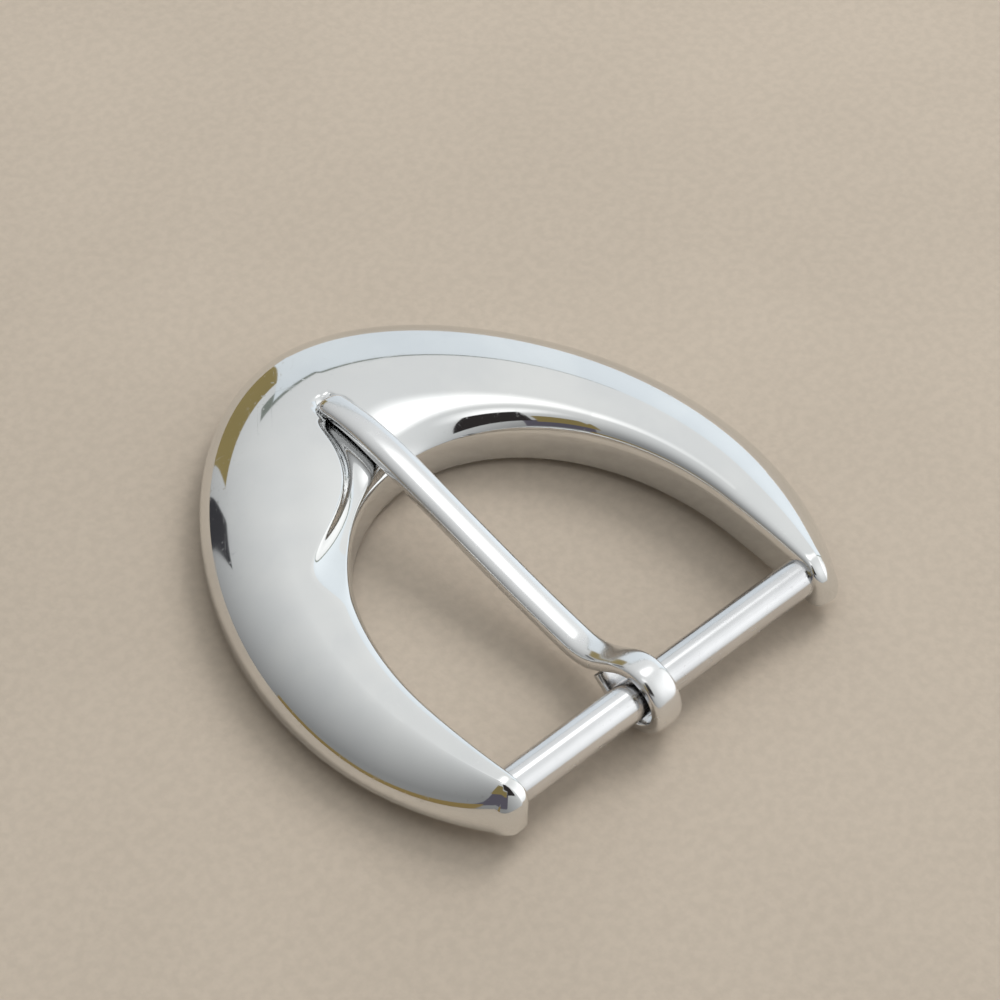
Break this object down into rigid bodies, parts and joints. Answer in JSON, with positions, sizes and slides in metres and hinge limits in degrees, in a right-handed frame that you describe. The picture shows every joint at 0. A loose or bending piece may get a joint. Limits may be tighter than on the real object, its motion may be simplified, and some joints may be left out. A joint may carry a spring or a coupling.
{
  "type": "belt buckle",
  "caption": "Domed horseshoe belt buckle with a flat back, a round strap rod across its open end and a pivoting prong that rests in a seat at the apex.",
  "frame": {"origin": "level with the lowest point of the tongue's loop, on which the buckle lies, at the middle of its overall length and width; the frame's flat back is 1.95 mm above it", "axes": "+X along the strap rod, to the right as the wearer's front view has the apex up; +Y from the rod towards the apex; +Z out of the domed front face"},
  "size_m": [0.062, 0.0654, 0.0104],
  "materials": {
    "frame_plating": "mirror-polished nickel plate on a zinc die casting",
    "rod_plating": "bright nickel plate on a drawn steel rod, with faint drawing lines along it",
    "tongue_plating": "bright nickel plate on a formed steel wire, a little softer than the frame, rough at the cut tail"
  },
  "bodies": {
    "buckle": {"frame": "frame_plating", "rod": "rod_plating"},
    "tongue": {"tongue": "tongue_plating"}
  },
  "joints": [
    {"name": "tongue_hinge", "type": "hinge", "parent": "buckle", "child": "tongue", "pos_m": [0, -0.02842, 0.00425], "axis": [1, 0, 0], "range_deg": [0, 170]}
  ]
}
